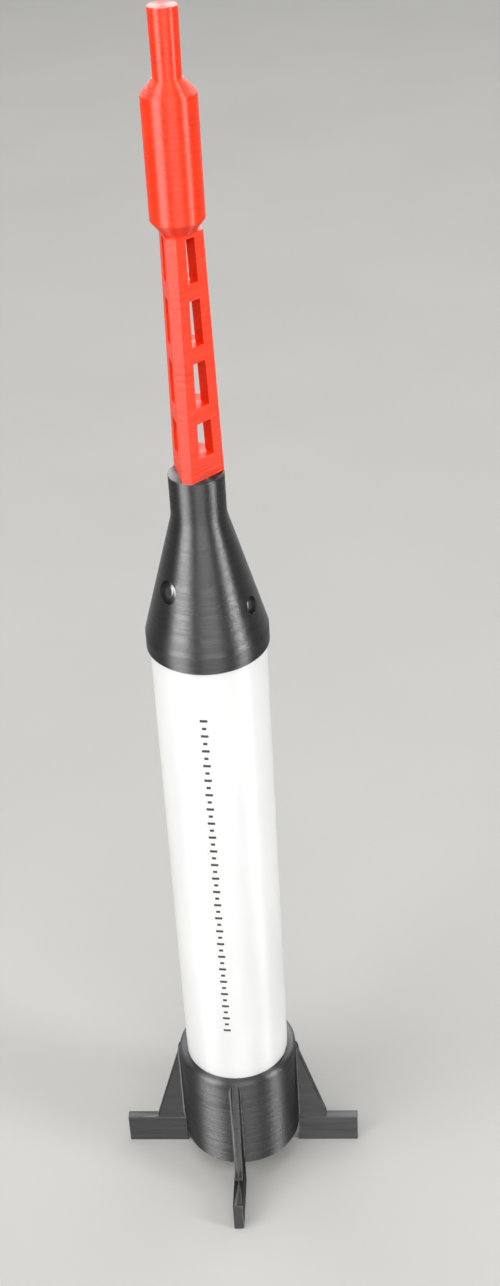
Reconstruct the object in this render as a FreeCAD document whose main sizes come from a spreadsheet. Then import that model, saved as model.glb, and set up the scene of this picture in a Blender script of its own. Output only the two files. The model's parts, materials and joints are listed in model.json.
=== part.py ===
"""A flying model rocket: fin can, airframe tube, capsule with escape tower, and the recovery parts inside.

The rocket stands upright on the square tips of its four fins.  The origin is on the ground under the
tube's axis, and +Z runs along the axis towards the nose.  The front fin points along -Y.
"""
import FreeCAD, Part
import Sketcher
import math
import os
import re

# Driving dimensions, in millimetres and degrees.
SIZES = {
    # airframe tube
    "tube_outer": 41.6,             # outside diameter
    "tube_wall": 0.55,
    "tube_foot": 11.2,              # the tube's and the fin can's lower end, above the ground
    "tube_tall": 245.6,
    # fin can: the sleeve that carries the fins
    "can_outer": 48.2,
    "can_tall": 46.7,
    "can_round": 1.8,               # outside, at the top
    "slot_deep": 1.6,               # how far a fin's root sits in the sleeve
    # fins: a thin swept panel above a thicker square tip
    "fin_reach": 49.2,              # radius of the outer edge
    "fin_thick": 3.2,
    "panel_reach": 36.0,            # radius where the leading edge meets the tip
    "panel_step": 1.7,              # small upright step there
    "tip_thick": 4.0,
    "tip_tall": 13.8,
    "fin_bevel": 0.3,
    "edge_round": 0.3,
    # motor mount
    "motor_bore": 18.2,
    "motor_wall": 0.8,
    "mount_tall": 70.0,
    "thrust_tall": 7.0,
    "thrust_wall": 1.6,
    "ring_tall": 5.0,
    "rear_ring_low": 3.0,           # rear ring above the tube's lower end
    "front_ring_low": 57.0,         # front ring above the tube's lower end
    "hook_turn": 45.0,              # the hook lies between two fins
    "hook_notch_wide": 5.0,
    "front_notch_deep": 2.6,
    "rear_notch_deep": 7.0,
    # engine hook: a spring steel strip with both ends turned in
    "hook_thick": 0.8,
    "hook_wide": 3.2,
    "hook_gap": 0.35,               # from the motor tube to the strip
    "hook_inside": 70.4,            # between the turned ends
    "hook_turn_in": 4.4,            # length of the turned ends
    "hook_play": 0.3,               # round the front end, in the thrust ring's notch
    # launch lugs
    "lug_bore": 4.0,
    "lug_wall": 0.6,
    "lug_tall": 32.0,
    "lug_radius": 26.6,             # distance from the rocket's axis
    "lug_web": 2.0,
    "lower_lug_low": 66.0,
    "upper_lug_low": 200.0,
    "lug_turn": 135.0,
    # recovery
    "anchor_wire": 1.6,
    "anchor_wide": 8.0,
    "anchor_tall": 9.0,
    "anchor_radius": 14.0,
    "chute_outer": 35.0,
    "chute_tall": 84.0,
    "chute_low": 118.0,
    "chute_round": 5.0,
    # capsule
    "capsule_outer": 43.9,
    "capsule_tall": 68.0,
    "capsule_chamfer": 0.8,
    "rim_tall": 7.0,                # the straight band at the base
    "rim_round": 1.6,
    "cone_tall": 45.4,
    "neck_outer": 19.2,
    "neck_sweep": 12.0,             # radius of the curve between cone and neck
    "capsule_wall": 1.8,
    "cavity_tall": 50.0,
    "socket_tall": 8.4,
    # capsule windows
    "porthole_left_outer": 8.4,
    "porthole_left_high": 27.6,     # above the capsule's base
    "porthole_right_outer": 6.2,
    "porthole_right_high": 19.8,
    "porthole_deep": 1.4,
    "porthole_pane": 0.6,
    "porthole_front": -80.4,        # midway between the two windows
    "porthole_spread": 56.0,
    # nose shoulder
    "shoulder_tall": 34.0,
    "shoulder_wall": 0.9,
    "bulkhead_thick": 3.0,
    "eye_wire": 1.8,
    "eye_ring": 10.0,               # through the middle of the wire
    "eye_shank": 3.0,
    "eye_shank_long": 9.5,
    "washer_outer": 9.0,
    "washer_thick": 0.8,
    "nut_flats": 5.5,
    "nut_tall": 2.4,
    # escape tower: a three-sided mast with its corners cut flat and windows cut in to the axis
    "tower_tall": 84.1,
    "tower_turn": 45.6,
    "corner_foot": 9.35,            # axis to the flat of a corner, at the foot
    "corner_head": 7.5,
    "corner_half": 1.65,            # half the width of a corner's flat
    "tower_plinth": 8.0,
    "tower_cap": 1.3,
    "post_edge": 3.9,               # from a corner's flat to the window beside it
    "window_pitch": 21.1,
    "window_tall": 15.5,
    "first_window": 4.9,            # lower end of the first window, hidden by the plinth
    "peg_outer": 12.0,
    "peg_tall": 8.0,
    # escape motor and its spike
    "casing_outer": 17.5,
    "casing_foot": 11.1,
    "casing_chamfer": 4.0,
    "casing_tall": 42.5,            # to the upper shoulder
    "casing_shoulder": 4.5,
    "casing_peg": 3.6,
    "casing_peg_tall": 5.0,
    "spike_foot": 8.9,
    "spike_head": 9.3,
    "spike_tall": 20.8,
    "spike_peg": 6.0,
    "spike_peg_tall": 8.0,
    # clearances
    "glue_gap": 0.1,                # between parts that are glued together
    "slide_gap": 0.08,              # radial, between the shoulder and the tube
}

WINDOWS_PER_FACE = 4
FIN_TURNS = {"fin_front": 270.0, "fin_right": 0.0, "fin_back": 90.0, "fin_left": 180.0}

# Lengths that several parts share, as expressions over the sheet.
TUBE_INNER = "(tube_outer - 2 * tube_wall)"
MOTOR_TUBE_OUTER = "(motor_bore + 2 * motor_wall)"
SHOULDER_OUTER = f"({TUBE_INNER} - 2 * slide_gap)"
CONE_SLOPE = "((capsule_outer - neck_outer) / 2 / cone_tall)"
CAPSULE_LOW = "(tube_foot + tube_tall)"
TOWER_LOW = f"({CAPSULE_LOW} + capsule_tall)"
CASING_LOW = f"({TOWER_LOW} + tower_tall)"
SPIKE_LOW = f"({CASING_LOW} + casing_tall + casing_shoulder)"

doc = FreeCAD.newDocument("ModelRocket")


def make_sheet():
    """Put every driving dimension in the spreadsheet, one aliased cell each."""
    sheet = doc.addObject("Spreadsheet::Sheet", "Dimensions")
    for row, (alias, value) in enumerate(SIZES.items(), start=1):
        sheet.set(f"A{row}", alias)
        sheet.set(f"B{row}", str(value))
        sheet.setAlias(f"B{row}", alias)
    doc.recompute()
    return sheet


sheet = make_sheet()


# ---------------------------------------------------------------- helpers

def cells(text):
    """Turn plain size names into references to the spreadsheet."""
    return re.sub(r"[a-z_]+", lambda word: f"Dimensions.{word.group()}" if word.group() in SIZES
                  else word.group(), text)


def size(text):
    """The present value of an expression over the sheet."""
    return float(sheet.evalExpression(cells(text)))


def bind(thing, target, text):
    """Drive one property or constraint of an object from the sheet."""
    thing.setExpression(target, cells(text))


def new_body(name):
    body = doc.addObject("PartDesign::Body", name + "_body")
    body.Label = name
    return body


def lift(thing, height, turn="0"):
    """Raise an object above the ground and turn it about the rocket's axis."""
    thing.Placement = FreeCAD.Placement(
        FreeCAD.Vector(0, 0, size(height)), FreeCAD.Rotation(FreeCAD.Vector(0, 0, 1), size(turn)))
    bind(thing, "Placement.Base.z", height)


def origin_part(body, role):
    """One of the planes or axes of a body's own origin."""
    return next(item for item in body.Origin.OriginFeatures if item.Role == role)


def new_sketch(body, name, role="XY_Plane", height=None):
    """An empty sketch on one of the body's own origin planes."""
    sketch = body.newObject("Sketcher::SketchObject", name)
    sketch.AttachmentSupport = [(origin_part(body, role), "")]
    sketch.MapMode = "FlatFace"
    if height:
        bind(sketch, "AttachmentOffset.Base.z", height)
    return sketch


def place_point(sketch, line, axis, text):
    """Hold the start of a line at a signed distance from the sketch's origin."""
    value = size(text)
    other_axis = {"X": -2, "Y": -1}[axis]
    if abs(value) < 1e-9:
        sketch.addConstraint(Sketcher.Constraint("PointOnObject", line, 1, other_axis))
        return
    ends = (-1, 1, line, 1) if value > 0 else (line, 1, -1, 1)
    number = sketch.addConstraint(Sketcher.Constraint(f"Distance{axis}", *ends, abs(value)))
    bind(sketch, f"Constraints[{number}]", text if value > 0 else f"-({text})")


def outline(sketch, corners):
    """A closed outline of straight edges through corners given as pairs of expressions."""
    points = [FreeCAD.Vector(size(across), size(up), 0) for across, up in corners]
    first = sketch.GeometryCount
    count = len(points)
    for index, point in enumerate(points):
        sketch.addGeometry(Part.LineSegment(point, points[(index + 1) % count]), False)
    for index, (across, up) in enumerate(corners):
        following = first + (index + 1) % count
        sketch.addConstraint(Sketcher.Constraint("Coincident", first + index, 2, following, 1))
        place_point(sketch, first + index, "X", across)
        place_point(sketch, first + index, "Y", up)


def circle(sketch, diameter):
    """A circle about the sketch's origin."""
    number = sketch.addGeometry(Part.Circle(FreeCAD.Vector(), FreeCAD.Vector(0, 0, 1), size(diameter) / 2))
    sketch.addConstraint(Sketcher.Constraint("Coincident", number, 3, -1, 1))
    driver = sketch.addConstraint(Sketcher.Constraint("Diameter", number, size(diameter)))
    bind(sketch, f"Constraints[{driver}]", diameter)


def pad(body, sketch, length, midplane=False, reverse=False):
    feature = body.newObject("PartDesign::Pad", sketch.Name + "_pad")
    feature.Profile = sketch
    bind(feature, "Length", length)
    if midplane:
        feature.SideType = "Symmetric"
    feature.Reversed = reverse
    return feature


def pocket(body, sketch, length, midplane=False, reverse=False):
    """Cut a sketch out of the body, and check that something was cut."""
    doc.recompute()
    before = body.Shape.Volume
    feature = body.newObject("PartDesign::Pocket", sketch.Name + "_pocket")
    feature.Profile = sketch
    bind(feature, "Length", length)
    if midplane:
        feature.SideType = "Symmetric"
    feature.Reversed = reverse
    doc.recompute()
    if body.Shape.Volume > before - 0.01:
        raise RuntimeError(f"{feature.Name} cuts nothing")
    return feature


def turned(name, corners, height, turn="0"):
    """A body turned about the rocket's axis from a half outline of (radius, height) corners."""
    body = new_body(name)
    sketch = new_sketch(body, name + "_outline", "XZ_Plane")
    outline(sketch, corners)
    feature = body.newObject("PartDesign::Revolution", name + "_turning")
    feature.Profile = sketch
    feature.ReferenceAxis = (sketch, ["V_Axis"])
    feature.Angle = 360
    lift(body, height, turn)
    doc.recompute()
    return body


def ring(name, outer, inner, length, height, turn="0"):
    """A plain tube or ring about the rocket's axis."""
    body = new_body(name)
    sketch = new_sketch(body, name + "_section")
    circle(sketch, outer)
    circle(sketch, inner)
    pad(body, sketch, length)
    lift(body, height, turn)
    doc.recompute()
    return body


def edges_of_circle(body, diameter, height):
    """Names of the body's circular edges of one diameter, at one height in the body's own frame."""
    base = body.Tip.Shape
    names = []
    for number, edge in enumerate(base.Edges, start=1):
        curve = edge.Curve
        if not isinstance(curve, Part.Circle):
            continue
        if abs(curve.Radius - size(diameter) / 2) < 0.01 and abs(curve.Center.z - size(height)) < 0.01:
            names.append(f"Edge{number}")
    if not names:
        raise RuntimeError(f"{body.Label} has no such edge")
    return names


def dress_edges(body, names, kind, target, text):
    """Add a fillet or a chamfer on the body's last feature."""
    feature = body.newObject(f"PartDesign::{kind}", f"{body.Label}_{kind.lower()}_{len(body.Group)}")
    feature.Base = (body.Group[body.Group.index(feature) - 1], names)
    bind(feature, target, text)
    doc.recompute()


def round_edges(body, names, radius):
    dress_edges(body, names, "Fillet", "Radius", radius)


def bevel_edges(body, names, width):
    dress_edges(body, names, "Chamfer", "Size", width)


# ---------------------------------------------------------------- airframe

def body_tube():
    return ring("body_tube", "tube_outer", TUBE_INNER, "tube_tall", "tube_foot")


def fin_can():
    """The sleeve round the tube's lower end, with a slot for each fin's root."""
    body = ring("fin_can", "can_outer", "tube_outer + 2 * glue_gap", "can_tall", "tube_foot")
    round_edges(body, edges_of_circle(body, "can_outer", "can_tall"), "can_round")
    slots = new_sketch(body, "fin_slots")
    outside = "can_outer"
    root = "can_outer / 2 - slot_deep"
    half = "fin_thick / 2"
    outline(slots, [(root, f"-{half}"), (outside, f"-{half}"), (outside, half), (root, half)])
    cut = pocket(body, slots, "can_tall - can_round", reverse=True)
    pattern = body.newObject("PartDesign::PolarPattern", "fin_slot_pattern")
    pattern.Originals = [cut]
    pattern.Axis = (slots, ["N_Axis"])
    pattern.Angle = 360
    pattern.Occurrences = len(FIN_TURNS)
    body.Tip = pattern
    doc.recompute()
    return body


def fin_edges(body):
    """Names of a fin's outer edges: round the tip, and both sides of the leading edge."""
    names = []
    for number, edge in enumerate(body.Tip.Shape.Edges, start=1):
        middle = edge.CenterOfMass
        across = abs(middle.y)
        round_tip = middle.x > size("can_outer / 2") + 1 and across > size("tip_thick / 2") - 0.01
        at_end = middle.x > size("fin_reach") - 0.01
        leading = middle.z > size("tip_tall + panel_step") and across > size("fin_thick / 2") - 0.01
        if round_tip or at_end or (leading and middle.x > size("can_outer / 2") + 1):
            names.append(f"Edge{number}")
    return names


def fin(name):
    """A swept panel with a thicker square tip that stands on the ground."""
    body = new_body(name)
    root = "can_outer / 2 - slot_deep"
    panel = new_sketch(body, name + "_panel", "XZ_Plane")
    outline(panel, [(root, "tube_foot"),
                    ("panel_reach", "tube_foot"),
                    ("panel_reach", "tip_tall + panel_step"),
                    ("can_outer / 2", "tube_foot + can_tall - can_round"),
                    (root, "tube_foot + can_tall - can_round")])
    pad(body, panel, "fin_thick", midplane=True)
    tip_root = "can_outer / 2 + glue_gap"
    tip = new_sketch(body, name + "_tip", "XZ_Plane")
    outline(tip, [(tip_root, "0"), ("fin_reach", "0"), ("fin_reach", "tip_tall"), (tip_root, "tip_tall")])
    pad(body, tip, "tip_thick", midplane=True)
    doc.recompute()
    bevel_edges(body, fin_edges(body), "fin_bevel")
    body.Placement = FreeCAD.Placement(
        FreeCAD.Vector(), FreeCAD.Rotation(FreeCAD.Vector(0, 0, 1), FIN_TURNS[name]))
    doc.recompute()
    return body


def motor_tube():
    """The tube that holds the motor."""
    return ring("motor_tube", MOTOR_TUBE_OUTER, "motor_bore", "mount_tall - thrust_tall", "tube_foot")


def thrust_ring():
    """The ring that the motor pushes against, on the motor tube's front end.

    Its lower face is notched for the engine hook's front end.
    """
    body = ring("thrust_ring", MOTOR_TUBE_OUTER, "motor_bore - 2 * thrust_wall", "thrust_tall",
                "tube_foot + mount_tall - thrust_tall", "hook_turn")
    notch = new_sketch(body, "hook_front_notch", "YZ_Plane")
    half = "(hook_wide / 2 + hook_play)"
    high = "hook_thick + 2 * hook_play"
    outline(notch, [(f"-{half}", "0"), (half, "0"), (half, high), (f"-{half}", high)])
    pocket(body, notch, "motor_bore", reverse=True)
    return body


def centering_ring(name, low, notch_deep):
    """Centres the motor tube in the airframe; a notch leaves room for the engine hook to spring out."""
    inner = f"{MOTOR_TUBE_OUTER} + 2 * glue_gap"
    body = ring(name, f"{TUBE_INNER} - 2 * glue_gap", inner, "ring_tall", f"tube_foot + {low}", "hook_turn")
    notch = new_sketch(body, name + "_notch")
    half = "hook_notch_wide / 2"
    near = "motor_bore / 2"
    far = f"{MOTOR_TUBE_OUTER} / 2 + {notch_deep}"
    outline(notch, [(near, f"-{half}"), (far, f"-{half}"), (far, half), (near, half)])
    pocket(body, notch, "ring_tall", reverse=True)
    return body


def engine_hook():
    """A flat spring strip along the motor tube; both ends turn in to hold the motor."""
    body = new_body("engine_hook")
    strip = new_sketch(body, "hook_side", "XZ_Plane")
    inside = f"{MOTOR_TUBE_OUTER} / 2 + hook_gap"
    outside = f"{inside} + hook_thick"
    tooth = f"{outside} - hook_turn_in"
    front_low = "mount_tall - thrust_tall + hook_play"
    rear_high = f"{front_low} - hook_inside"
    outline(strip, [(tooth, f"{rear_high} - hook_thick"), (outside, f"{rear_high} - hook_thick"),
                    (outside, f"{front_low} + hook_thick"), (tooth, f"{front_low} + hook_thick"),
                    (tooth, front_low), (inside, front_low),
                    (inside, rear_high), (tooth, rear_high)])
    pad(body, strip, "hook_wide", midplane=True)
    lift(body, "tube_foot", "hook_turn")
    doc.recompute()
    return body


def launch_lug(name, height):
    """A short tube for the launch rod, held off the airframe by a web so that the rod clears the can."""
    body = new_body(name)
    barrel = new_sketch(body, name + "_barrel")
    circle(barrel, "lug_bore + 2 * lug_wall")
    pad(body, barrel, "lug_tall")
    web = new_sketch(body, name + "_web")
    half = "lug_web / 2"
    root = "-(lug_radius - tube_outer / 2 - glue_gap)"
    near = "-(lug_bore + lug_wall) / 2"
    outline(web, [(root, f"-{half}"), (near, f"-{half}"), (near, half), (root, half)])
    pad(body, web, "lug_tall")
    bore = new_sketch(body, name + "_bore")
    circle(bore, "lug_bore")
    pocket(body, bore, "lug_tall", reverse=True)
    turn = math.radians(size("lug_turn"))
    away = size("lug_radius")
    body.Placement = FreeCAD.Placement(
        FreeCAD.Vector(away * math.cos(turn), away * math.sin(turn), size(height)),
        FreeCAD.Rotation(FreeCAD.Vector(0, 0, 1), size("lug_turn")))
    doc.recompute()
    return body


# ---------------------------------------------------------------- recovery

def primitive(kind, name, **sizes):
    """A Part primitive whose properties are driven from the sheet."""
    thing = doc.addObject(f"Part::{kind}", name)
    for target, text in sizes.items():
        bind(thing, target, text)
    return thing


def joined(name, pieces):
    whole = doc.addObject("Part::MultiFuse", name + "_whole")
    whole.Shapes = pieces
    whole.Label = name
    return whole


def upright_ring(name, outer_radius, wire_radius, sweep):
    """A wire ring that stands in the XZ plane, or the upper part of one."""
    torus = primitive("Torus", name, Radius1=outer_radius, Radius2=wire_radius)
    torus.Angle3 = sweep
    torus.Placement = FreeCAD.Placement(FreeCAD.Vector(), FreeCAD.Rotation(FreeCAD.Vector(1, 0, 0), 90))
    return torus


def cord_anchor():
    """A steel staple on the front centering ring, where the shock cord ties on."""
    low = size("tube_foot + front_ring_low + ring_tall")
    straight = "anchor_tall - anchor_wide / 2"
    arch = upright_ring("anchor_arch", "anchor_wide / 2", "anchor_wire / 2", 180)
    arch.Placement.Base = FreeCAD.Vector(0, 0, size(straight))
    legs = []
    for side in (-1, 1):
        leg = primitive("Cylinder", f"anchor_leg_{side + 1}", Radius="anchor_wire / 2", Height=straight)
        leg.Placement.Base = FreeCAD.Vector(side * size("anchor_wide / 2"), 0, 0)
        legs.append(leg)
    staple = joined("cord_anchor", [arch] + legs)
    staple.Placement.Base = FreeCAD.Vector(0, size("anchor_radius"), low)
    doc.recompute()
    return staple


def parachute():
    """The rolled canopy, as a plain soft roll."""
    body = turned("parachute", [("0", "0"), ("chute_outer / 2", "0"), ("chute_outer / 2", "chute_tall"),
                                ("0", "chute_tall")], "chute_low")
    names = edges_of_circle(body, "chute_outer", "0") + edges_of_circle(body, "chute_outer", "chute_tall")
    round_edges(body, names, "chute_round")
    return body


# ---------------------------------------------------------------- capsule

def cone_radius(height):
    """Outer radius of the capsule's cone at a height above its base."""
    return f"(capsule_outer / 2 - ({height} - rim_tall) * {CONE_SLOPE})"


def porthole_cylinders(name, gap, deep, proud):
    """A cylinder square to the cone at each window, from one depth to a height above the surface."""
    slope = math.atan(size(CONE_SLOPE))
    outward = FreeCAD.Vector(math.cos(slope), 0, math.sin(slope))
    square = FreeCAD.Rotation(FreeCAD.Vector(0, 0, 1), outward)
    found = []
    for side, label in ((-1, "left"), (1, "right")):
        high = f"porthole_{label}_high"
        middle = FreeCAD.Vector(size(cone_radius(high)), 0, size(high))
        cylinder = primitive("Cylinder", f"{name}_{label}", Height=f"{deep} + {proud}",
                             Radius=f"porthole_{label}_outer / 2 - {gap}")
        turn = size("porthole_front") + side * size("porthole_spread")
        about_axis = FreeCAD.Placement(
            FreeCAD.Vector(0, 0, size(CAPSULE_LOW)), FreeCAD.Rotation(FreeCAD.Vector(0, 0, 1), turn))
        cylinder.Placement = about_axis.multiply(FreeCAD.Placement(middle - outward * size(deep), square))
        found.append(cylinder)
    return found


def capsule_shell():
    """A hollow bell: straight rim, long cone, and a solid neck with a socket for the tower."""
    base = "capsule_outer / 2"
    neck = "neck_outer / 2"
    socket = f"{SHOULDER_OUTER} / 2 + glue_gap"
    peg_hole = "peg_outer / 2 + glue_gap"
    peg_floor = "capsule_tall - peg_tall - 1"
    bell = turned("capsule_bell", [
        (socket, "0"),
        (f"{base} - capsule_chamfer", "0"),
        (base, "capsule_chamfer"),
        (base, "rim_tall"),
        (neck, "rim_tall + cone_tall"),
        (neck, "capsule_tall"),
        (peg_hole, "capsule_tall"),
        (peg_hole, peg_floor),
        ("0", peg_floor),
        ("0", "cavity_tall"),
        (f"{cone_radius('cavity_tall')} - capsule_wall", "cavity_tall"),
        (f"{cone_radius('socket_tall')} - capsule_wall", "socket_tall"),
        (socket, "socket_tall"),
    ], CAPSULE_LOW)
    round_edges(bell, edges_of_circle(bell, "neck_outer", "rim_tall + cone_tall"), "neck_sweep")
    round_edges(bell, edges_of_circle(bell, "capsule_outer", "rim_tall"), "rim_round")
    round_edges(bell, edges_of_circle(bell, "neck_outer", "capsule_tall"), "edge_round")
    shell = doc.addObject("Part::Cut", "capsule_shell_cut")
    shell.Base = bell
    shell.Tool = joined("porthole_recesses",
                        porthole_cylinders("recess", "0", "porthole_deep", "porthole_deep"))
    shell.Label = "capsule_shell"
    doc.recompute()
    return shell


def portholes():
    panes = porthole_cylinders("porthole", "glue_gap", "porthole_deep", "0")
    for pane in panes:
        bind(pane, "Height", "porthole_pane")
    doc.recompute()
    return panes


def nose_coupler():
    """The shoulder that plugs the capsule into the tube."""
    length = "shoulder_tall + socket_tall - glue_gap"
    return ring("nose_coupler", SHOULDER_OUTER, f"{SHOULDER_OUTER} - 2 * shoulder_wall", length,
                f"{CAPSULE_LOW} - shoulder_tall")


BULKHEAD_LOW = f"({CAPSULE_LOW} - shoulder_tall + glue_gap)"
BULKHEAD_TOP = f"({BULKHEAD_LOW} + bulkhead_thick)"


def coupler_bulkhead():
    outer = f"{SHOULDER_OUTER} - 2 * shoulder_wall - 2 * glue_gap"
    return ring("coupler_bulkhead", outer, "eye_shank + 2 * glue_gap", "bulkhead_thick", BULKHEAD_LOW)


def eye_bolt():
    """A wire eye below the bulkhead on a shank that passes up through it."""
    eye = upright_ring("bolt_eye", "eye_ring / 2", "eye_wire / 2", 360)
    eye_middle = size(BULKHEAD_LOW) - size("eye_ring / 2 + eye_wire / 2 + glue_gap")
    eye.Placement.Base = FreeCAD.Vector(0, 0, eye_middle)
    shank = primitive("Cylinder", "bolt_shank", Radius="eye_shank / 2", Height="eye_shank_long")
    shank.Placement.Base = FreeCAD.Vector(0, 0, eye_middle + size("eye_ring / 2"))
    bolt = joined("eye_bolt", [eye, shank])
    doc.recompute()
    return bolt


def eye_washer():
    return ring("eye_washer", "washer_outer", "eye_shank + 2 * glue_gap", "washer_thick", BULKHEAD_TOP)


def eye_nut():
    """A hexagon nut on top of the washer."""
    hexagon = primitive("Prism", "nut_hexagon", Circumradius="nut_flats / sqrt(3)", Height="nut_tall")
    hexagon.Polygon = 6
    hole = primitive("Cylinder", "nut_hole", Radius="eye_shank / 2 + glue_gap", Height="nut_tall")
    nut = doc.addObject("Part::Cut", "eye_nut_cut")
    nut.Base = hexagon
    nut.Tool = hole
    nut.Label = "eye_nut"
    lift(nut, f"{BULKHEAD_TOP} + washer_thick")
    doc.recompute()
    return nut


# ---------------------------------------------------------------- escape tower

def tower_corners(corner, half):
    """Six corners of a triangle whose points are cut flat, one flat square to +Y."""
    found = []
    for turn in (90, 210, 330):
        along = math.cos(math.radians(turn))
        across = math.sin(math.radians(turn))
        for side in (-1, 1):
            found.append((f"{corner} * {along:.9f} - {side} * {half} * {across:.9f}",
                          f"{corner} * {across:.9f} + {side} * {half} * {along:.9f}"))
    return found


def corner_at(height):
    """Distance from the axis to a corner's flat, at a height above the tower's foot."""
    return f"(corner_foot + (corner_head - corner_foot) * ({height}) / tower_tall)"


def tower_mast(body):
    """The tapering three-sided solid that the windows are cut from."""
    sections = []
    for label, height in (("foot", "0"), ("head", "tower_tall")):
        sketch = new_sketch(body, f"tower_{label}", height=height)
        outline(sketch, tower_corners(corner_at(height), "corner_half"))
        sections.append(sketch)
    loft = body.newObject("PartDesign::AdditiveLoft", "tower_mast")
    loft.Profile = sections[0]
    loft.Sections = [sections[1]]
    loft.Ruled = True
    doc.recompute()


def window_edge(height):
    """Half the width of a window at a height, leaving the post beside it."""
    return f"({corner_at(height)} * sqrt(3) / 2 - corner_half / 2 - post_edge)"


def escape_tower():
    body = new_body("escape_tower")
    ceiling = "(tower_tall - tower_cap)"
    tower_mast(body)
    windows = new_sketch(body, "tower_windows", "XZ_Plane")
    for index in range(WINDOWS_PER_FACE):
        low = "tower_plinth" if index == 0 else f"(first_window + {index} * window_pitch)"
        high = ceiling if index == WINDOWS_PER_FACE - 1 else (
            f"(first_window + {index} * window_pitch + window_tall)")
        outline(windows, [(f"-{window_edge(low)}", low), (window_edge(low), low),
                          (window_edge(high), high), (f"-{window_edge(high)}", high)])
    cut = pocket(body, windows, "corner_foot", reverse=True)
    pattern = body.newObject("PartDesign::PolarPattern", "three_faces")
    pattern.Originals = [cut]
    pattern.Axis = (origin_part(body, "Z_Axis"), [""])
    pattern.Angle = 360
    pattern.Occurrences = 3
    body.Tip = pattern
    doc.recompute()
    peg = new_sketch(body, "tower_peg")
    circle(peg, "peg_outer")
    pad(body, peg, "peg_tall", reverse=True)
    hole = new_sketch(body, "tower_head_hole", height="tower_tall")
    circle(hole, "casing_peg + 2 * glue_gap")
    pocket(body, hole, "tower_cap")
    lift(body, TOWER_LOW, "tower_turn")
    doc.recompute()
    return body


def escape_motor():
    """The motor casing on the tower, with a socket for the spike."""
    socket = "spike_peg / 2 + glue_gap"
    top = "(casing_tall + casing_shoulder)"
    body = turned("escape_motor", [
        ("0", "-casing_peg_tall"),
        ("casing_peg / 2", "-casing_peg_tall"),
        ("casing_peg / 2", "0"),
        ("casing_foot / 2", "0"),
        ("casing_outer / 2", "casing_chamfer"),
        ("casing_outer / 2", "casing_tall"),
        ("spike_foot / 2 + 2 * glue_gap", top),
        (socket, top),
        (socket, f"{top} - spike_peg_tall - glue_gap"),
        ("0", f"{top} - spike_peg_tall - glue_gap"),
    ], CASING_LOW)
    for height in ("casing_chamfer", "casing_tall"):
        round_edges(body, edges_of_circle(body, "casing_outer", height), "edge_round")
    return body


def aero_spike():
    body = turned("aero_spike", [
        ("0", "-spike_peg_tall"),
        ("spike_peg / 2", "-spike_peg_tall"),
        ("spike_peg / 2", "0"),
        ("spike_foot / 2", "0"),
        ("spike_head / 2", "spike_tall"),
        ("0", "spike_tall"),
    ], SPIKE_LOW)
    round_edges(body, edges_of_circle(body, "spike_head", "spike_tall"), "edge_round")
    return body


# ---------------------------------------------------------------- build, check and write

def build():
    parts = [body_tube(), fin_can()]
    parts += [fin(name) for name in FIN_TURNS]
    parts += [motor_tube(), thrust_ring(), engine_hook()]
    parts += [centering_ring("front_centering_ring", "front_ring_low", "front_notch_deep"),
              centering_ring("rear_centering_ring", "rear_ring_low", "rear_notch_deep")]
    parts += [launch_lug("launch_lug_lower", "lower_lug_low"), launch_lug("launch_lug_upper", "upper_lug_low")]
    parts += [cord_anchor(), parachute()]
    parts += [capsule_shell(), *portholes(), nose_coupler(), coupler_bulkhead()]
    parts += [eye_bolt(), eye_washer(), eye_nut()]
    parts += [escape_tower(), escape_motor(), aero_spike()]
    return parts


def check(parts):
    """Stop if any object failed or any sub-part has no sound shape."""
    for thing in doc.Objects:
        if "Invalid" in thing.State or "Error" in thing.State:
            raise RuntimeError(f"{thing.Label} failed: {thing.State}")
    for part in parts:
        if part.Shape.isNull() or not part.Shape.isValid():
            raise RuntimeError(f"{part.Label} has no valid shape")
        if len(part.Shape.Solids) != 1:
            raise RuntimeError(f"{part.Label} has {len(part.Shape.Solids)} solids")


def write(parts):
    os.makedirs("parts", exist_ok=True)
    for part in parts:
        part.Shape.exportStep(f"parts/{part.Label}.step")
        print(f"{part.Label:24s} {part.Shape.Volume:10.1f} mm3  "
              f"z {part.Shape.BoundBox.ZMin:7.2f} to {part.Shape.BoundBox.ZMax:7.2f}")


all_parts = build()
doc.recompute()
check(all_parts)
write(all_parts)
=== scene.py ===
"""Looks, light and camera for the model rocket.  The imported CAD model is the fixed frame.

Metres, with +Z up the rocket's axis.  The front fin points along -Y.
"""

import json
import math

import bmesh
import bpy
from mathutils import Matrix, Vector


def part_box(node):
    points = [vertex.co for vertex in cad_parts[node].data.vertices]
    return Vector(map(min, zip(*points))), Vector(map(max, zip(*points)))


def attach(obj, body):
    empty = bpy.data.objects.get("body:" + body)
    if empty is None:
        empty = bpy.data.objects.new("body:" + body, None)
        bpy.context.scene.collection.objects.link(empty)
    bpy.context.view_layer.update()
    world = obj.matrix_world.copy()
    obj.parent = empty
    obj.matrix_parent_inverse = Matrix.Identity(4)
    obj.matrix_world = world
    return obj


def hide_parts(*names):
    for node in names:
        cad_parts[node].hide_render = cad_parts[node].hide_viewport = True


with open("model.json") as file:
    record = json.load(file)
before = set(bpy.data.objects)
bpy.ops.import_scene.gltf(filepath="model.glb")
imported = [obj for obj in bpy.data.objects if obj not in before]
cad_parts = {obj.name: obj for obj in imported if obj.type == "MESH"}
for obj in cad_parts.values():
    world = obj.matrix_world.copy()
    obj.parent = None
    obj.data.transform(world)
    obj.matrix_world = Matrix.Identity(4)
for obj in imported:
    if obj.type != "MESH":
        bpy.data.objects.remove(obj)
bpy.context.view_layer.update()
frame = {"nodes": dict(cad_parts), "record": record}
scene = bpy.context.scene

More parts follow.
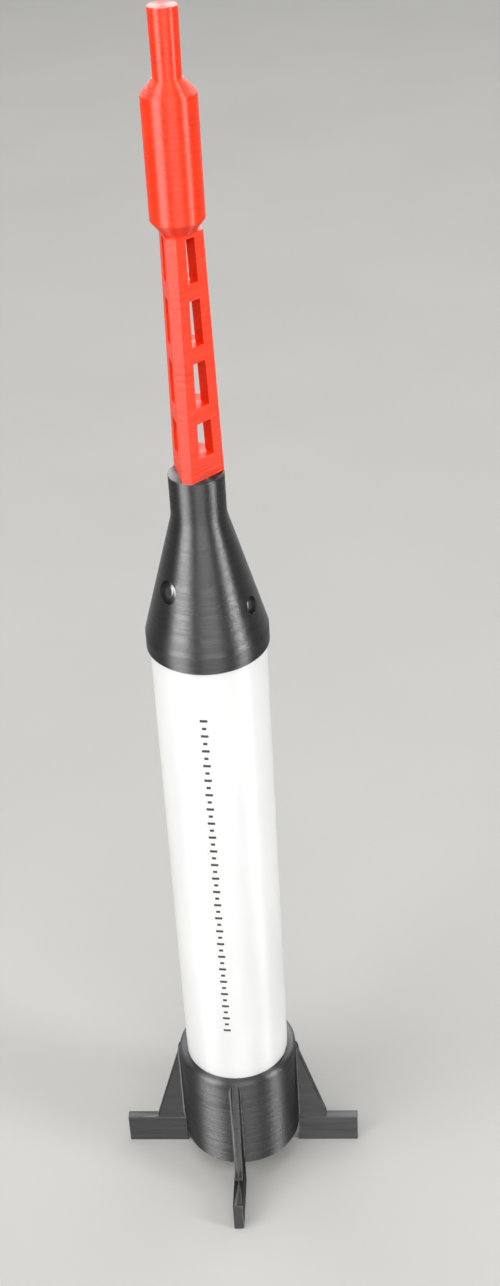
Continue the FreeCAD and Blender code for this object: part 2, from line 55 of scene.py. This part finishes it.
MM = 0.001
tube_low, tube_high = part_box("body_tube")
TUBE_WIDE = tube_high.x - tube_low.x
TUBE_RADIUS = TUBE_WIDE / 2
FIN_HALF = 1.6 * MM                  # half a fin panel's thickness
FIN_TIP_TOP = 13.8 * MM              # where a fin's square tip ends and its panel starts
LUG_WEB_HALF = 1.0 * MM              # half the thickness of a launch lug's web

roll_low, roll_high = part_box("parachute")
ROLL_RADIUS = (roll_high.x - roll_low.x) / 2
ROLL_CORE = 3.5 * MM                 # radius of the hollow that the canopy is wound round
CANOPY_WIDE = 0.30                   # an octagon, across its flats
OCTAGON_SHARE = 0.828                # of the area of the square round it
CANOPY_AREA = OCTAGON_SHARE * CANOPY_WIDE ** 2


# ---------------------------------------------------------------- material helpers

MIX_FIRST_COLOUR = 6                 # a Mix node's sockets for colours, by number
MIX_SECOND_COLOUR = 7
MIX_COLOUR_RESULT = 2


class Surface:
    """A node material with one Principled shader, and short ways to add nodes to it."""

    def __init__(self, name, **shader):
        self.material = bpy.data.materials.new(name)
        self.material.use_nodes = True
        self.nodes = self.material.node_tree.nodes
        self.links = self.material.node_tree.links
        self.shader = self.nodes["Principled BSDF"]
        for socket, value in shader.items():
            self.shader.inputs[socket.replace("_", " ")].default_value = value
        self.place = self.node("ShaderNodeTexCoord").outputs["Object"]
        split = self.node("ShaderNodeSeparateXYZ", Vector=self.place)
        self.x, self.y, self.z = split.outputs

    def node(self, kind, settings=None, **inputs):
        """Add a node.  An input is a number, a colour or another node's output.

        An input is named as its socket is, or by the socket's number after an underscore.
        """
        node = self.nodes.new(kind)
        for name, value in (settings or {}).items():
            setattr(node, name, value)
        for name, value in inputs.items():
            self.feed(node.inputs[int(name[1:])] if name[0] == "_" else node.inputs[name], value)
        return node

    def feed(self, socket, value):
        """Link an output to a socket, or set the socket's own value."""
        if isinstance(value, bpy.types.NodeSocket):
            self.links.new(value, socket)
        else:
            socket.default_value = value

    def maths(self, operation, first, second=0.0, third=0.0):
        """The result of one Math node."""
        node = self.node("ShaderNodeMath", {"operation": operation}, _0=first, _1=second, _2=third)
        return node.outputs[0]

    def noise(self, scale, stretch=(1, 1, 1), detail=3.0, roughness=0.5):
        """Fractal noise from 0 to 1, with its features stretched along each axis."""
        mapping = self.node("ShaderNodeMapping", Vector=self.place)
        mapping.inputs["Scale"].default_value = tuple(1 / s for s in stretch)
        texture = self.node("ShaderNodeTexNoise", Vector=mapping.outputs[0], Scale=scale,
                            Detail=detail, Roughness=roughness)
        return texture.outputs[0]

    def remap(self, value, low, high):
        """0 to 1 in a smooth step as a value goes from low to high."""
        node = self.node("ShaderNodeMapRange", {"interpolation_type": "SMOOTHSTEP"},
                         _0=value, _1=low, _2=high)
        return node.outputs[0]

    def blend(self, share, first, second):
        """A colour between two, by a share from 0 to 1."""
        node = self.node("ShaderNodeMix", {"data_type": "RGBA"})
        self.feed(node.inputs["Factor"], share)
        self.feed(node.inputs[MIX_FIRST_COLOUR], first)
        self.feed(node.inputs[MIX_SECOND_COLOUR], second)
        return node.outputs[MIX_COLOUR_RESULT]

    def bump(self, height, depth, under=None):
        """Bump by a height from 0 to 1, over a depth in metres, on top of another bump."""
        node = self.node("ShaderNodeBump", Height=height, Distance=depth)
        if under is not None:
            self.feed(node.inputs["Normal"], under)
        return node.outputs[0]

    def finish(self, colour, roughness=None, normal=None):
        """Link what varies over the surface to the shader, and hand over the material."""
        for name, value in (("Base Color", colour), ("Roughness", roughness), ("Normal", normal)):
            if value is not None:
                self.feed(self.shader.inputs[name], value)
        return self.material


def rgb(red, green, blue):
    """A colour from display values of 0 to 255."""
    def linear(value):
        share = value / 255
        return share / 12.92 if share <= 0.04045 else ((share + 0.055) / 1.055) ** 2.4
    return (linear(red), linear(green), linear(blue), 1.0)


# ---------------------------------------------------------------- materials

LAYER_TALL = 0.25 * MM               # one layer of a print
RIDGE_SHARE = 0.45                   # how much the even ridges count, beside the uneven ones
BAND_SHARE = 1.6                     # and how much the wide bands of layers do


def layer_lines(surface, bands, depth):
    """The stacked layers of a print: fine ridges along Z, with some layers standing proud of others."""
    turns = surface.maths("MULTIPLY", surface.z, 2 * math.pi / LAYER_TALL)
    ridge = surface.maths("MULTIPLY_ADD", surface.maths("SINE", turns), 0.5, 0.5)
    uneven = surface.noise(2600, stretch=(60, 60, 1), detail=2)
    fine = surface.maths("MULTIPLY_ADD", ridge, RIDGE_SHARE, uneven)
    return surface.bump(surface.maths("MULTIPLY_ADD", bands, BAND_SHARE, fine), depth)


def upright_streaks(surface, amount):
    """Draw the highlights out along Z, as ridges or wraps round the axis do."""
    tangent = surface.node("ShaderNodeTangent", {"direction_type": "RADIAL", "axis": "Z"})
    surface.feed(surface.shader.inputs["Tangent"], tangent.outputs[0])
    surface.shader.inputs["Anisotropic"].default_value = amount
    surface.shader.inputs["Anisotropic Rotation"].default_value = 0.25


SHINE_SPREAD = 0.18                  # in roughness, between the glossiest and the dullest layers


def printed_plastic(name, colour, worn, shine, depth, **shader):
    """Plastic printed in layers, with bands of duller and paler layers and a faint overall cloud.

    Shine is the middle of its roughness, and depth how far the layers stand out.
    """
    surface = Surface(name, **shader)
    upright_streaks(surface, 0.95)
    cloud = surface.noise(90, stretch=(1, 1, 0.6), detail=4)
    bands = surface.remap(surface.noise(760, stretch=(50, 50, 1), detail=3, roughness=0.7), 0.36, 0.64)
    mixed = surface.maths("MULTIPLY_ADD", bands, 0.6, surface.maths("MULTIPLY", cloud, 0.4))
    gloss = surface.maths("MULTIPLY_ADD", mixed, SHINE_SPREAD, shine - SHINE_SPREAD / 2)
    return surface.finish(surface.blend(mixed, colour, worn), gloss, layer_lines(surface, bands, depth))


def black_print():
    return printed_plastic("black_print", rgb(6, 6, 8), rgb(20, 20, 22), shine=0.46, depth=0.035 * MM,
                           IOR=1.5, Specular_IOR_Level=0.5)


def red_print():
    return printed_plastic("red_print", rgb(230, 40, 0), rgb(242, 62, 12), shine=0.42, depth=0.035 * MM,
                           IOR=1.5, Specular_IOR_Level=0.24)


def white_print():
    return printed_plastic("white_print", rgb(222, 222, 218), rgb(234, 234, 231), shine=0.42,
                           depth=0.03 * MM)


MARK_TURN = math.radians(-94.7)      # where the line of marks stands, about the axis
MARK_LOW = 85 * MM                   # the lowest mark, above the ground
MARK_PITCH = 6.6 * MM                # from one long bar to the next
MARK_COUNT = 24                      # of long bars
MARK_WIDE = 2.8 * MM                 # a long bar, across the tube
MARK_THICK = 1.1 * MM
MARK_SHORTER = 0.44                  # how much of its width a short bar lacks


def mark_ink(surface):
    """1 on a plain scale of short bars up the tube, every second bar shorter, else 0."""
    angle = surface.maths("ARCTAN2", surface.y, surface.x)
    aside = surface.maths("SUBTRACT", angle, MARK_TURN)
    across = surface.maths("ABSOLUTE", surface.maths("MULTIPLY", aside, TUBE_RADIUS))
    up = surface.maths("DIVIDE", surface.maths("SUBTRACT", surface.z, MARK_LOW), MARK_PITCH / 2)
    number = surface.maths("ROUND", up)
    odd = surface.maths("ABSOLUTE", surface.maths("MODULO", number, 2.0))
    half_wide = surface.maths("MULTIPLY_ADD", odd, -MARK_SHORTER * MARK_WIDE / 2, MARK_WIDE / 2)
    in_width = surface.maths("LESS_THAN", across, half_wide)
    away = surface.maths("MULTIPLY", surface.maths("ABSOLUTE", surface.maths("SUBTRACT", up, number)),
                         MARK_PITCH / 2)
    in_bar = surface.maths("LESS_THAN", away, MARK_THICK / 2)
    last = 2 * (MARK_COUNT - 1)
    in_scale = surface.maths("MULTIPLY", surface.maths("GREATER_THAN", number, -0.5),
                             surface.maths("LESS_THAN", number, last + 0.5))
    bars = surface.maths("MULTIPLY", in_width, in_bar)
    return surface.maths("MULTIPLY", bars, in_scale)


SEAM_PITCH = 62 * MM                 # how far the tube's outer wrap climbs in one turn
SEAM_HALF_WIDE = 0.35 * MM
SEAM_DEEP = 0.02 * MM


def spiral_seam(surface, pitch, half_wide):
    """0 in the groove where a tube's outer wrap meets itself, 1 elsewhere."""
    angle = surface.maths("ARCTAN2", surface.y, surface.x)
    along = surface.maths("ADD", surface.maths("DIVIDE", surface.z, pitch),
                          surface.maths("DIVIDE", angle, 2 * math.pi))
    away = surface.maths("ABSOLUTE", surface.maths("SUBTRACT", surface.maths("FRACT", along), 0.5))
    return surface.remap(away, 0.0, half_wide / pitch)


def white_tube():
    """Gloss-coated paper tube: a faint spiral seam, slightly uneven gloss, and the printed scale."""
    surface = Surface("white_tube", Coat_Weight=0.3, Coat_Roughness=0.08)
    upright_streaks(surface, 0.9)
    groove = spiral_seam(surface, SEAM_PITCH, SEAM_HALF_WIDE)
    mottle = surface.noise(700, detail=4)
    cloud = surface.noise(45, stretch=(1, 1, 3), detail=2)
    paper = surface.blend(surface.remap(cloud, 0.3, 0.7), rgb(228, 229, 228), rgb(236, 236, 234))
    colour = surface.blend(mark_ink(surface), paper, rgb(42, 44, 46))
    gloss = surface.maths("MULTIPLY_ADD", mottle, 0.10, 0.34)
    return surface.finish(colour, gloss, surface.bump(groove, SEAM_DEEP))


def kraft_card():
    """Rolled brown card with short fibres."""
    surface = Surface("kraft_card", Roughness=0.75, Specular_IOR_Level=0.3)
    fibres = surface.noise(1500, stretch=(1, 1, 3), detail=5, roughness=0.7)
    cloud = surface.noise(120, detail=3)
    mixed = surface.maths("MULTIPLY_ADD", fibres, 0.6, surface.maths("MULTIPLY", cloud, 0.4))
    tint = surface.remap(mixed, 0.3, 0.7)
    gloss = surface.maths("MULTIPLY_ADD", fibres, 0.2, 0.62)
    return surface.finish(surface.blend(tint, rgb(146, 112, 76), rgb(186, 152, 110)), gloss,
                          surface.bump(fibres, 0.08 * MM))


def card_ring():
    """Grey-brown fibre board."""
    surface = Surface("card_ring", Roughness=0.85, Specular_IOR_Level=0.25)
    fibres = surface.noise(1900, detail=6, roughness=0.75)
    tint = surface.remap(fibres, 0.35, 0.65)
    gloss = surface.maths("MULTIPLY_ADD", fibres, 0.15, 0.75)
    return surface.finish(surface.blend(tint, rgb(150, 128, 100), rgb(188, 168, 138)), gloss,
                          surface.bump(fibres, 0.12 * MM))


def plywood():
    """Thin birch plywood: long grain with fine pores."""
    surface = Surface("plywood", Roughness=0.6, Specular_IOR_Level=0.35)
    grain = surface.noise(650, stretch=(14, 1, 1), detail=5, roughness=0.65)
    growth = surface.noise(110, stretch=(9, 1, 1), detail=2)
    mixed = surface.maths("MULTIPLY_ADD", grain, 0.55, surface.maths("MULTIPLY", growth, 0.45))
    tint = surface.remap(mixed, 0.32, 0.66)
    gloss = surface.maths("MULTIPLY_ADD", grain, 0.2, 0.5)
    return surface.finish(surface.blend(tint, rgb(170, 128, 82), rgb(214, 178, 130)), gloss,
                          surface.bump(grain, 0.06 * MM))


def steel(name, light, dark, shine):
    """Drawn or rolled steel with fine scratches along Z and clouded tarnish."""
    surface = Surface(name, Metallic=1.0, Roughness=shine)
    scratches = surface.noise(4200, stretch=(1, 1, 30), detail=3)
    cloud = surface.noise(220, detail=4)
    tint = surface.remap(cloud, 0.3, 0.7)
    gloss = surface.maths("MULTIPLY_ADD", surface.maths("ADD", scratches, cloud), 0.14, shine - 0.12)
    return surface.finish(surface.blend(tint, dark, light), gloss, surface.bump(scratches, 0.01 * MM))


def spring_steel():
    return steel("spring_steel", rgb(120, 124, 134), rgb(84, 84, 96), 0.34)


def zinc_steel():
    return steel("zinc_steel", rgb(205, 207, 208), rgb(168, 170, 172), 0.3)


def dark_pane():
    """Smooth dark disc, slightly domed towards its rim, with faint smears."""
    surface = Surface("dark_pane", IOR=1.5, Specular_IOR_Level=0.5)
    inside = surface.node("ShaderNodeTexCoord").outputs["Generated"]
    from_middle = surface.node("ShaderNodeVectorMath", {"operation": "DISTANCE"}, _0=inside,
                               _1=(0.5, 0.5, 0.5)).outputs["Value"]
    dome = surface.remap(from_middle, 0.62, 0.2)
    smear = surface.noise(320, stretch=(1, 1, 3), detail=4)
    colour = surface.blend(surface.remap(smear, 0.3, 0.7), rgb(16, 17, 20), rgb(27, 29, 33))
    return surface.finish(colour, surface.maths("MULTIPLY_ADD", smear, 0.16, 0.26),
                          surface.bump(dome, 1.2 * MM, surface.bump(smear, 0.01 * MM)))


CLOTH_THREADS = 5 * MM               # between the heavier threads of the ripstop weave
THREAD_WIDE = 0.35 * MM
WEAVE_HALF = 0.25 * MM               # half the pitch of the fine weave


def stripes(surface, along, pitch, wide):
    """1 on narrow lines at an even pitch, else 0, with soft edges."""
    away = surface.maths("PINGPONG", along, pitch / 2)
    return surface.remap(away, wide, 0.3 * wide)


def canopy():
    """Thin ripstop cloth: a fine weave with a heavier thread every few millimetres, and small creases
    whose sunk parts are darkened by painted shade.
    """
    surface = Surface("canopy", Specular_IOR_Level=0.4, Sheen_Weight=0.3, Sheen_Roughness=0.4)
    angle = surface.maths("ARCTAN2", surface.y, surface.x)
    around = surface.maths("MULTIPLY", surface.maths("ADD", angle, math.pi), ROLL_RADIUS)
    grid = surface.maths("MAXIMUM", stripes(surface, around, CLOTH_THREADS, THREAD_WIDE),
                         stripes(surface, surface.z, CLOTH_THREADS, THREAD_WIDE))
    weave = surface.maths("MULTIPLY", surface.maths("PINGPONG", around, WEAVE_HALF),
                          surface.maths("PINGPONG", surface.z, WEAVE_HALF))
    weave = surface.maths("DIVIDE", weave, WEAVE_HALF ** 2)
    crease = surface.noise(160, stretch=(1, 1, 2.5), detail=5, roughness=0.6)
    # painted shade: the cloth's orange is darker where the crease bump sinks and lighter where it rises
    crease_shade_colour = surface.blend(surface.remap(crease, 0.35, 0.65), rgb(206, 78, 20), rgb(232, 108, 40))
    colour = surface.blend(surface.maths("MULTIPLY", grid, 0.35), crease_shade_colour, rgb(150, 48, 10))
    height = surface.maths("MULTIPLY_ADD", grid, 0.6, surface.maths("MULTIPLY", weave, 0.3))
    normal = surface.bump(height, 0.06 * MM, surface.bump(crease, 0.5 * MM))
    return surface.finish(colour, surface.maths("MULTIPLY_ADD", crease, 0.25, 0.45), normal)


MATERIALS = {maker.__name__: maker() for maker in (
    white_tube, black_print, red_print, white_print, kraft_card, card_ring, plywood, spring_steel,
    zinc_steel, dark_pane, canopy)}


# ---------------------------------------------------------------- pieces that replace or join CAD nodes

def add_piece(name, mesh, body, slot):
    """Put a mesh in the scene as a piece that rides on a body and wears one slot's material."""
    mesh.materials.append(MATERIALS[slot])
    for face in mesh.polygons:
        face.use_smooth = True
    piece = bpy.data.objects.new(name, mesh)
    scene.collection.objects.link(piece)
    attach(piece, body)
    return piece


def grid_mesh(name, points, columns, rows):
    """A sheet of quads through points in column order."""
    faces = []
    for column in range(columns - 1):
        for row in range(rows - 1):
            corner = column * rows + row
            faces.append((corner, corner + rows, corner + rows + 1, corner + 1))
    mesh = bpy.data.meshes.new(name)
    mesh.from_pydata(points, [], faces)
    return mesh


ROLL_INSET = 0.15 * MM               # keeps the sheet inside the space of the CAD roll
ROLL_RAGGED = 2.4 * MM               # the most that a layer's edge lies below the roll's end
ROLL_CREASE = 0.045                  # the most that a crease presses a layer in, of its radius
ROLL_END = 0.2                       # the share of each half, at its end, that draws in
ROLL_DRAWN = 0.10                    # and how much of its radius it has lost at the very end
ROLL_STEPS = 56                      # columns in one turn of the sheet
ROLL_ROWS = 31


def roll_canopy():
    """The canopy, folded to the roll's height and wound up: one spiral sheet with creased layers."""
    middle = (roll_low + roll_high) / 2
    tall = roll_high.z - roll_low.z
    outer = ROLL_RADIUS - ROLL_INSET
    wound = CANOPY_AREA / tall
    pitch = math.pi * (outer ** 2 - ROLL_CORE ** 2) / wound
    turns = (outer - ROLL_CORE) / pitch
    columns = int(turns * ROLL_STEPS) + 1
    points = []
    for column in range(columns):
        angle = 2 * math.pi * turns * column / (columns - 1)
        radius = ROLL_CORE + pitch * angle / (2 * math.pi)
        ragged = 0.5 + 0.5 * math.sin(1.37 * angle + 0.6 * math.sin(0.31 * angle))
        half_tall = tall / 2 - ROLL_RAGGED * ragged
        for row in range(ROLL_ROWS):
            up = 2 * row / (ROLL_ROWS - 1) - 1
            crease = 0.5 + 0.5 * math.sin(3 * angle + 2.2 * up) * math.sin(5 * angle - 1.3 * up)
            round_end = 1 - ROLL_DRAWN * max(0.0, abs(up) - (1 - ROLL_END)) / ROLL_END
            pressed = radius * round_end * (1 - ROLL_CREASE * crease)
            points.append((middle.x + pressed * math.cos(angle), middle.y + pressed * math.sin(angle),
                           middle.z + up * half_tall))
    mesh = grid_mesh("canopy_roll", points, columns, ROLL_ROWS)
    piece = add_piece("canopy_roll", mesh, "canopy", "canopy")
    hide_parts("parachute")


BEAD_COLUMNS = 41                    # cross-sections along a bead
BEAD_ARC = 9                         # points on the curved face of each
BEAD_TAPER = 1 / 12                  # the share of its length that tapers, at each end
BEAD_END = 0.05                      # how much of its reach is left at the very end
BEAD_SUNK = 0.1                      # how far its back lies inside the two surfaces, of its radius
FIN_BEAD = 1.3 * MM                  # radius of the hollow face
LUG_BEAD = 0.9 * MM


def glue_bead(name, corner, first, second, low, high, radius, slot):
    """A bead of glue in an upright inside corner: hollow in section, tapering out at both ends.

    The two directions lead away from the corner, along the two surfaces.
    """
    points = []
    for column in range(BEAD_COLUMNS):
        share = column / (BEAD_COLUMNS - 1)
        lumpy = 1 + 0.12 * math.sin(23 * share) * math.sin(9 * share + 1)
        taper = min(1.0, share / BEAD_TAPER, (1 - share) / BEAD_TAPER) ** 0.5
        reach = radius * (BEAD_END + (1 - BEAD_END) * taper) * lumpy
        height = low + (high - low) * share
        for step in range(BEAD_ARC):
            turn = math.pi / 2 * step / (BEAD_ARC - 1)
            place = corner + first * reach * (1 - math.sin(turn)) + second * reach * (1 - math.cos(turn))
            points.append((place.x, place.y, height))
        sunk = corner - (first + second) * BEAD_SUNK * radius
        points.append((sunk.x, sunk.y, height))
        points.append(points[-BEAD_ARC - 1])
    mesh = grid_mesh(name, points, BEAD_COLUMNS, BEAD_ARC + 2)
    joined = bmesh.new()
    joined.from_mesh(mesh)
    bmesh.ops.remove_doubles(joined, verts=joined.verts, dist=1e-7)
    bmesh.ops.holes_fill(joined, edges=joined.edges)
    bmesh.ops.recalc_face_normals(joined, faces=joined.faces)
    joined.to_mesh(mesh)
    joined.free()
    add_piece(name, mesh, "airframe", slot)


def bead_both_sides(name, wall_radius, half_thick, start, radius, slot):
    """A bead on each side of an upright plate on a round wall, from a height to the plate's top."""
    low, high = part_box(name)
    middle = (low + high) / 2
    outward = Vector((middle.x, middle.y, 0)).normalized()
    across = Vector((-outward.y, outward.x, 0))
    for side, label in ((-1, "a"), (1, "b")):
        away = across * side
        corner = outward * math.sqrt(wall_radius ** 2 - half_thick ** 2) + away * half_thick
        glue_bead(f"{name}_bead_{label}", corner, outward, away, start, high.z, radius, slot)


def glue_fins():
    """Beads beside every fin's panel, up the fin can."""
    can_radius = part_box("fin_can")[1].x
    for name in ("fin_front", "fin_right", "fin_back", "fin_left"):
        bead_both_sides(name, can_radius, FIN_HALF, FIN_TIP_TOP, FIN_BEAD, "black_print")


def glue_lugs():
    """Beads beside both launch lugs' webs, up the tube."""
    for name in ("launch_lug_lower", "launch_lug_upper"):
        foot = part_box(name)[0].z
        bead_both_sides(name, TUBE_RADIUS, LUG_WEB_HALF, foot, LUG_BEAD, "white_print")


def dress_cad_nodes():
    """Give each CAD node the material of its slot in the record."""
    slots = {part["node"]: part["material_slot"] for part in frame["record"]["subparts"]}
    for name, thing in frame["nodes"].items():
        thing.data.materials.clear()
        thing.data.materials.append(MATERIALS[slots[name]])


# ---------------------------------------------------------------- floor, light and camera

FLOOR_HALF = 30.0                    # half the floor's side


def make_floor():
    """A plain pale floor, matt and very slightly clouded."""
    mesh = bpy.data.meshes.new("floor")
    shape = bmesh.new()
    bmesh.ops.create_grid(shape, x_segments=1, y_segments=1, size=FLOOR_HALF)
    shape.to_mesh(mesh)
    shape.free()
    floor = bpy.data.objects.new("floor", mesh)
    scene.collection.objects.link(floor)
    surface = Surface("floor_paper", Roughness=1.0, Specular_IOR_Level=0.0)
    cloud = surface.noise(6, detail=3)
    mesh.materials.append(surface.finish(surface.blend(cloud, rgb(168, 167, 164), rgb(176, 175, 172))))


CAMERA_TURN = math.radians(-84.4)    # where it stands, about the rocket's axis
CAMERA_AWAY = 12.87 * TUBE_WIDE      # from the axis
CAMERA_HIGH = 14.59 * TUBE_WIDE      # above the ground
CAMERA_PITCH = math.radians(33.32)   # downwards
CAMERA_YAW = math.radians(-1.58)     # off the axis
CAMERA_ROLL = math.radians(-3.30)
SENSOR = 36.0                        # mm, along the picture's long side
LENS = 50.39                         # mm


def make_camera():
    """Looks down at the rocket from the front; the long side of the picture sets the lens."""
    heading = Matrix.Rotation(CAMERA_TURN + math.pi / 2, 3, "Z")
    level = Vector((-math.sin(CAMERA_YAW), math.cos(CAMERA_YAW), 0))
    side = Vector((math.cos(CAMERA_YAW), math.sin(CAMERA_YAW), 0))
    zenith = Vector((0, 0, 1))
    forward = level * math.cos(CAMERA_PITCH) - zenith * math.sin(CAMERA_PITCH)
    up = level * math.sin(CAMERA_PITCH) + zenith * math.cos(CAMERA_PITCH)
    right = side * math.cos(CAMERA_ROLL) + up * math.sin(CAMERA_ROLL)
    up = up * math.cos(CAMERA_ROLL) - side * math.sin(CAMERA_ROLL)
    turned = heading @ Matrix((right, up, -forward)).transposed()
    data = bpy.data.cameras.new("camera")
    data.sensor_width = SENSOR
    data.lens = LENS
    camera = bpy.data.objects.new("camera", data)
    scene.collection.objects.link(camera)
    place = Vector((math.cos(CAMERA_TURN) * CAMERA_AWAY, math.sin(CAMERA_TURN) * CAMERA_AWAY, CAMERA_HIGH))
    camera.matrix_world = Matrix.Translation(place) @ turned.to_4x4()
    scene.camera = camera


ABOVE_TUBE_MIDDLE = 0.08             # from the tube's middle up to the rocket's


def softbox(name, azimuth, elevation, distance, wide, tall, watts, gloss_only=False):
    """A soft rectangular light that faces the middle of the rocket.

    The angles are in degrees, with the azimuth from the camera's side to its right, and the
    lengths in metres.  A light for gloss only shows in reflections and lights nothing else.
    """
    data = bpy.data.lights.new(name, "AREA")
    data.shape = "RECTANGLE"
    data.size = wide
    data.size_y = tall
    data.energy = watts
    turn = CAMERA_TURN + math.radians(azimuth)
    rise = math.radians(elevation)
    middle = Vector((0, 0, (tube_low.z + tube_high.z) / 2 + ABOVE_TUBE_MIDDLE))
    away = Vector((math.cos(turn) * math.cos(rise), math.sin(turn) * math.cos(rise), math.sin(rise)))
    light = bpy.data.objects.new(name, data)
    light.rotation_mode = "QUATERNION"
    light.rotation_quaternion = away.to_track_quat("Z", "Y")
    light.location = middle + away * distance
    light.visible_diffuse = not gloss_only
    scene.collection.objects.link(light)


SKY_WIDE = math.radians(60)          # how much of the sky the overhead panel fills
SKY_LEAN = (math.radians(12), math.radians(-8), 0)


def make_softboxes():
    """Five for light, and four of gloss only that draw the highlights on the printed plastic."""
    softbox("left_box", azimuth=-60, elevation=26, distance=1.4, wide=1.0, tall=1.3, watts=14)
    softbox("front_box", azimuth=10, elevation=34, distance=1.6, wide=1.1, tall=0.8, watts=7)
    softbox("right_box", azimuth=63, elevation=26, distance=1.4, wide=0.3, tall=1.3, watts=12)
    softbox("back_left_box", azimuth=-150, elevation=42, distance=2.2, wide=1.2, tall=1.2, watts=9)
    softbox("back_right_box", azimuth=140, elevation=42, distance=2.2, wide=1.2, tall=1.2, watts=10)
    softbox("left_sheen", azimuth=-53, elevation=20, distance=1.5, wide=0.85, tall=1.3, watts=85,
            gloss_only=True)
    softbox("front_sheen", azimuth=6, elevation=16, distance=1.7, wide=1.2, tall=0.9, watts=42,
            gloss_only=True)
    softbox("right_sheen", azimuth=62, elevation=20, distance=1.5, wide=0.25, tall=1.3, watts=40,
            gloss_only=True)
    softbox("back_sheen", azimuth=178, elevation=38, distance=1.7, wide=1.3, tall=0.9, watts=40,
            gloss_only=True)


def make_sky():
    """A wide soft light from above, and a dim even light from all round."""
    data = bpy.data.lights.new("sky_panel", "SUN")
    data.angle = SKY_WIDE
    data.energy = 1.9
    sky = bpy.data.objects.new("sky_panel", data)
    sky.rotation_euler = SKY_LEAN
    scene.collection.objects.link(sky)
    world = bpy.data.worlds.new("studio")
    world.use_nodes = True
    background = world.node_tree.nodes["Background"]
    background.inputs["Color"].default_value = (0.94, 0.96, 1.0, 1)
    background.inputs["Strength"].default_value = 0.2
    scene.world = world


dress_cad_nodes()
roll_canopy()
glue_fins()
glue_lugs()
make_floor()
make_camera()
make_softboxes()
make_sky()
scene.view_settings.view_transform = "Standard"
